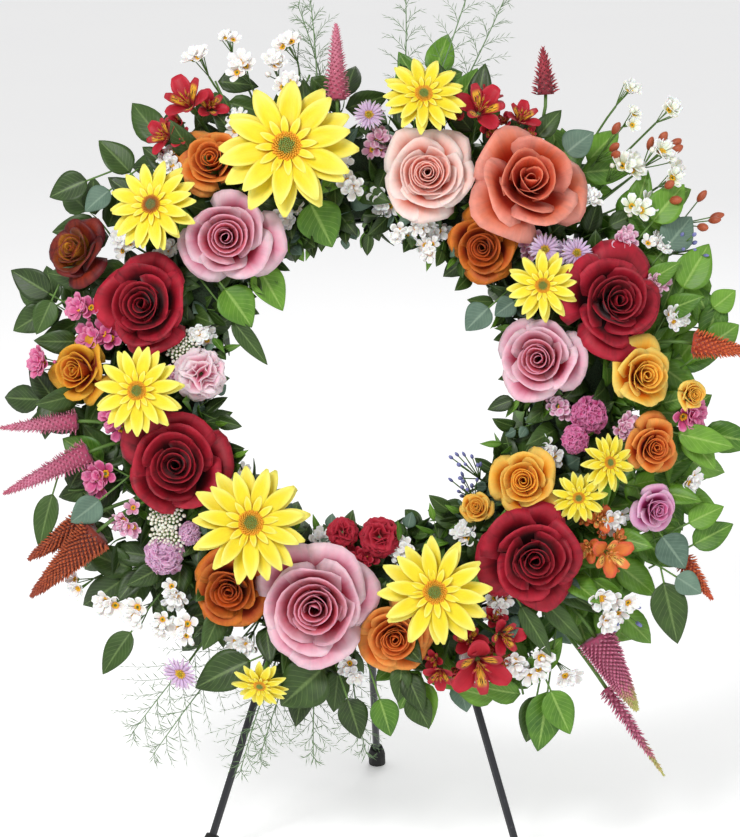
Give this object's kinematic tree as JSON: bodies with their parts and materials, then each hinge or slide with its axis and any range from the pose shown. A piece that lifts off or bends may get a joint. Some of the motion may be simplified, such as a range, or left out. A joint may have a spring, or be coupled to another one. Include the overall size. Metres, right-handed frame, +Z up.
{
  "type": "funeral wreath",
  "caption": "Standing funeral wreath: a ring of mixed fresh roses, daisies and greenery on a low steel tripod with a folding rear leg.",
  "frame": {"origin": "on the floor below the middle of the part's bounding box", "axes": "+Z up, the wreath's front faces -Y and leans back towards +Y, +X to the viewer's right"},
  "size_m": [0.692, 0.336, 0.7903],
  "materials": {
    "petals_pink": "soft velvety fresh petals",
    "petals_red": "deep velvety fresh petals",
    "petals_coral": "soft velvety fresh petals",
    "petals_blush": "soft velvety fresh petals",
    "petals_orange": "soft velvety fresh petals",
    "petals_golden": "soft velvety fresh petals",
    "petals_rust": "soft velvety fresh petals",
    "petals_lilac": "soft velvety fresh petals",
    "petals_magenta": "soft fresh petals",
    "petals_yellow": "soft fresh petals",
    "petals_white": "soft fresh petals",
    "plumes": "dense velvety plume",
    "leaves": "waxy fresh leaves, satin",
    "floral_foam": "wet open-cell floral foam, matt",
    "tray_plastic": "moulded dark green, satin",
    "painted_steel": "black satin paint",
    "rubber": "matt black"
  },
  "bodies": {
    "wreath_and_stand": {"foam_ring": "floral_foam", "foam_tray": "tray_plastic", "wreath_hoop": "painted_steel", "front_frame": "painted_steel", "foot_tip_left": "rubber", "foot_tip_right": "rubber", "pink_rose_upper_left": "petals_pink", "pink_rose_bottom": "petals_pink", "pink_rose_right": "petals_pink", "carnation_left": "petals_pink", "red_rose_upper_left": "petals_red", "red_rose_lower_left": "petals_red", "red_rose_lower_right": "petals_red", "red_rose_right": "petals_red", "carnation_bottom": "petals_red", "alstroemeria_upper_left": "petals_red", "alstroemeria_top": "petals_red", "alstroemeria_bottom": "petals_red", "celosia_spike_top_right": "petals_red", "coral_rose_upper_right": "petals_coral", "blush_rose_top": "petals_blush", "orange_rose_inner_right": "petals_orange", "orange_rose_right": "petals_orange", "orange_rose_upper_left": "petals_orange", "orange_rose_lower_left": "petals_orange", "orange_rose_bottom": "petals_orange", "apricot_rose_right": "petals_golden", "golden_rose_right": "petals_golden", "amber_rose_left": "petals_golden", "rust_rose_left": "petals_rust", "alstroemeria_right": "petals_rust", "lilac_rose_right": "petals_lilac", "stock_lower_left": "petals_lilac", "stock_right": "petals_magenta", "veronica_spike_top": "petals_magenta", "veronica_spikes_left": "petals_magenta", "amaranth_lower_right": "petals_magenta", "gerbera_upper_left_large": "petals_yellow", "gerbera_upper_left": "petals_yellow", "gerbera_left": "petals_yellow", "gerbera_lower_left": "petals_yellow", "gerbera_bottom": "petals_yellow", "gerbera_top": "petals_yellow", "gerbera_right": "petals_yellow", "gerberas_far_right": "petals_yellow", "gerbera_bottom_left_small": "petals_yellow", "waxflower_upper_left": "petals_white", "waxflower_upper_right": "petals_white", "daisy_spray_upper_right": "petals_white", "waxflower_lower_left": "petals_white", "waxflower_lower_right": "petals_white", "waxflower_inner_top": "petals_white", "celosia_plumes_left": "plumes", "celosia_plumes_right": "plumes", "garland_upper_left": "leaves", "garland_upper_right": "leaves", "garland_lower_right": "leaves", "garland_lower_left": "leaves"},
    "rear_leg": {"rear_leg": "painted_steel", "foot_tip_rear": "rubber"}
  },
  "joints": [
    {"name": "rear_leg_fold", "type": "hinge", "parent": "wreath_and_stand", "child": "rear_leg", "pos_m": [-0.00642, -0.0291, 0.27272], "axis": [-1, 0, 0], "range_deg": [0, 43]}
  ]
}
